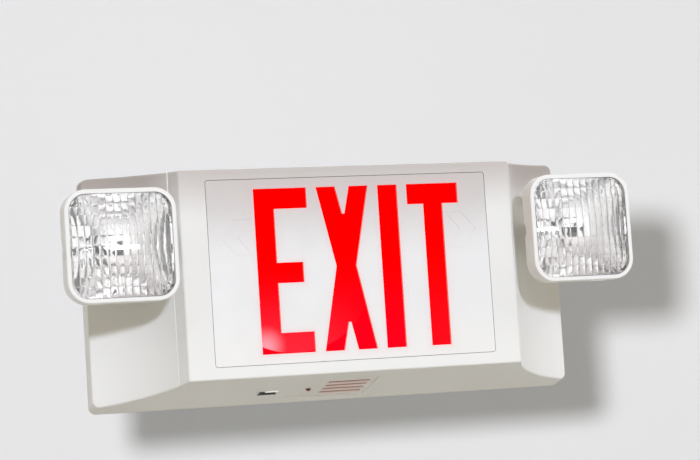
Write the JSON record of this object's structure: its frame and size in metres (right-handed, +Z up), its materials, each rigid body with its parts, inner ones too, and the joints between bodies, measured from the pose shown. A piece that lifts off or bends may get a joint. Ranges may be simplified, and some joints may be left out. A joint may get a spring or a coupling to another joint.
{
  "type": "emergency exit light",
  "caption": "Wall-mounted emergency exit sign with an edge-lit stencil face, swept side wings and square adjustable lamp heads that swivel and pan.",
  "frame": {"origin": "on the wall plane, in the middle of the rectangle of wall-fixing holes and of the supply knockout, level with the middle of the sign face", "axes": "+X to the sign's right as its reader sees it, +Y back into the wall, +Z up"},
  "size_m": [0.5456, 0.1245, 0.2189],
  "materials": {
    "white_plastic": "fine satin texture, flame-rated ABS",
    "panel_white": "smooth semi-gloss",
    "lamp_white": "satin",
    "button_white": "smooth",
    "red_acrylic": "translucent red",
    "red_lens": "translucent red",
    "clear_plastic": "frosted clear polycarbonate",
    "clear_lens": "clear polycarbonate with prisms",
    "led_clear": "clear",
    "bulb_glass": "clear glass",
    "circuit_board": "solder-resist green",
    "black_plastic": "moulded",
    "terminal_nylon": "natural nylon",
    "coil_tape": "yellow winding tape",
    "core_iron": "varnished laminations",
    "battery_wrap": "heat-shrink sleeve",
    "zinc_steel": "zinc plated",
    "bright_metal": "vacuum-metallised"
  },
  "bodies": {
    "housing": {"front_cover": "white_plastic", "back_plate": "white_plastic", "stencil_panel": "panel_white", "red_diffuser": "red_acrylic", "light_tray": "white_plastic", "legend_led_board": "circuit_board", "legend_leds": "led_clear", "down_light_lens": "clear_plastic", "service_board": "circuit_board", "test_switch": "black_plastic", "status_led": "red_lens", "led_spacer": "black_plastic", "charger_board": "circuit_board", "board_screws": "zinc_steel", "transformer_coil": "coil_tape", "transformer_core": "core_iron", "filter_capacitors": "black_plastic", "battery_pack": "battery_wrap", "battery_strap": "white_plastic", "terminal_block": "terminal_nylon"},
    "test_button": {"test_button": "button_white", "switch_plunger": "black_plastic"},
    "left_neck": {"left_swivel_neck": "lamp_white", "left_track_shoe": "terminal_nylon", "left_track_nut": "zinc_steel", "left_swivel_nut": "zinc_steel", "left_swivel_washer": "zinc_steel"},
    "left_head": {"left_lamp_bezel": "lamp_white", "left_lamp_lens": "clear_lens", "left_lamp_bowl": "lamp_white", "left_lamp_reflector": "bright_metal", "left_lamp_socket": "terminal_nylon", "left_lamp_bulb": "bulb_glass"},
    "right_neck": {"right_swivel_neck": "lamp_white", "right_track_shoe": "terminal_nylon", "right_track_nut": "zinc_steel", "right_swivel_nut": "zinc_steel", "right_swivel_washer": "zinc_steel"},
    "right_head": {"right_lamp_bezel": "lamp_white", "right_lamp_lens": "clear_lens", "right_lamp_bowl": "lamp_white", "right_lamp_reflector": "bright_metal", "right_lamp_socket": "terminal_nylon", "right_lamp_bulb": "bulb_glass"}
  },
  "joints": [
    {"name": "test_press", "type": "slide", "parent": "housing", "child": "test_button", "axis": [0, 0, 1], "range_m": [0, 0.0012], "stiffness_N_per_m": 900, "springref_m": -0.0016},
    {"name": "left_swivel", "type": "hinge", "parent": "housing", "child": "left_neck", "pos_m": [-0.222, -0.113, 0.028], "axis": [0, 1, 0], "range_deg": [-170, 170]},
    {"name": "left_pan", "type": "hinge", "parent": "left_neck", "child": "left_head", "pos_m": [-0.222, -0.113, 0.028], "axis": [0, 0, 1], "range_deg": [-30, 30]},
    {"name": "right_swivel", "type": "hinge", "parent": "housing", "child": "right_neck", "pos_m": [0.222, -0.113, 0.028], "axis": [0, 1, 0], "range_deg": [-170, 170]},
    {"name": "right_pan", "type": "hinge", "parent": "right_neck", "child": "right_head", "pos_m": [0.222, -0.113, 0.028], "axis": [0, 0, 1], "range_deg": [-30, 30]}
  ]
}
